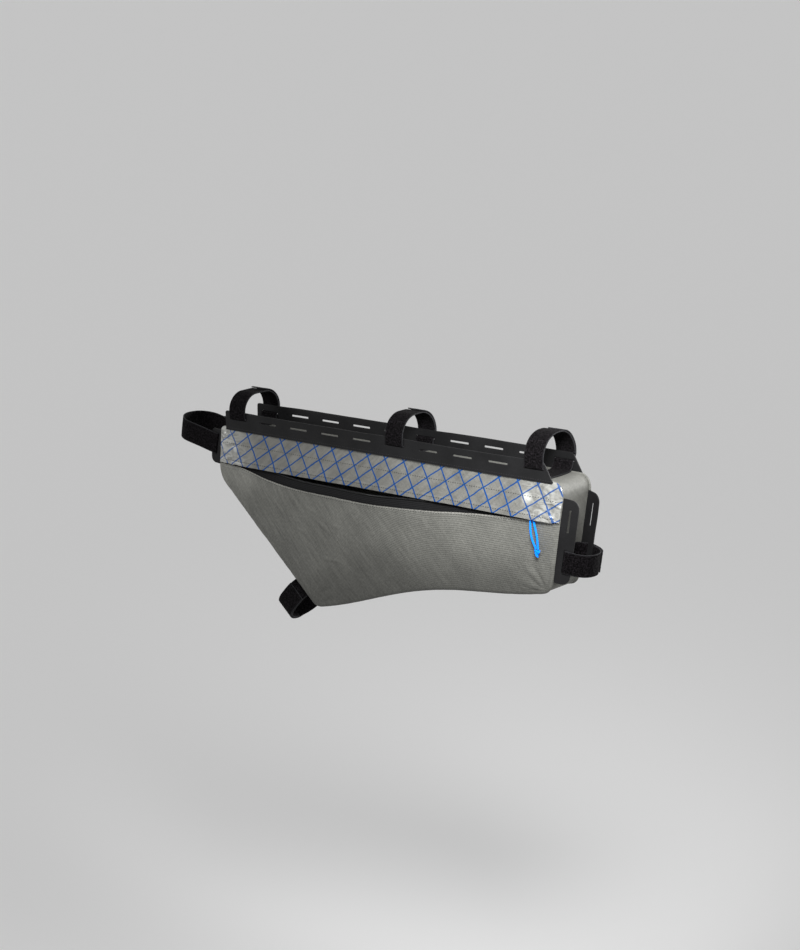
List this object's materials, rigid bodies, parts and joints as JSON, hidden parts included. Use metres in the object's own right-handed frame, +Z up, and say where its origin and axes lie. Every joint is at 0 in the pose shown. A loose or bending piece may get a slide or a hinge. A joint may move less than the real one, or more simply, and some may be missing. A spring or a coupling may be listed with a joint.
{
  "type": "bicycle frame bag",
  "caption": "Long bag of woven nylon that straps into a bicycle's main triangle, with a grid-patterned flap over a side zip, slotted rubber flanges and hook-and-loop straps.",
  "frame": {"origin": "where the top tube sits on the bag: on the top face of the gusset, midway along the bag and between its sides", "axes": "+X rearward along the top tube, -Y the side with the zip, +Z up"},
  "size_m": [0.5895, 0.0718, 0.2665],
  "materials": {
    "body_nylon": "matte grey-green woven nylon",
    "grid_laminate": "satin light grey laminate with a blue diamond grid",
    "rubber_sheet": "matte black rubber-coated cloth",
    "loop_webbing": "fuzzy black hook-and-loop webbing",
    "zip_tape": "matte black ribbed tape",
    "zip_coil": "black nylon coil",
    "pull_cord": "bright blue woven cord"
  },
  "bodies": {
    "root": {"gusset_band": "body_nylon", "near_lower_panel": "body_nylon", "near_upper_panel": "grid_laminate", "far_panel": "body_nylon", "zip_tape_lower": "zip_tape", "zip_tape_upper": "zip_tape", "zip_coil_lower": "zip_coil", "zip_coil_upper": "zip_coil", "zip_slider": "zip_coil", "pull_cord_front": "pull_cord", "pull_cord_rear": "pull_cord", "pull_knot": "pull_cord", "top_flange_near": "rubber_sheet", "top_flange_far": "rubber_sheet", "front_flange_near": "rubber_sheet", "front_flange_far": "rubber_sheet", "rear_flange_near": "rubber_sheet", "rear_flange_far": "rubber_sheet", "top_strap_front": "loop_webbing", "top_strap_middle": "loop_webbing", "top_strap_rear": "loop_webbing", "head_tube_strap": "loop_webbing", "seat_tube_strap": "loop_webbing", "down_tube_strap": "loop_webbing", "down_tube_keeper": "rubber_sheet"}
  },
  "joints": []
}
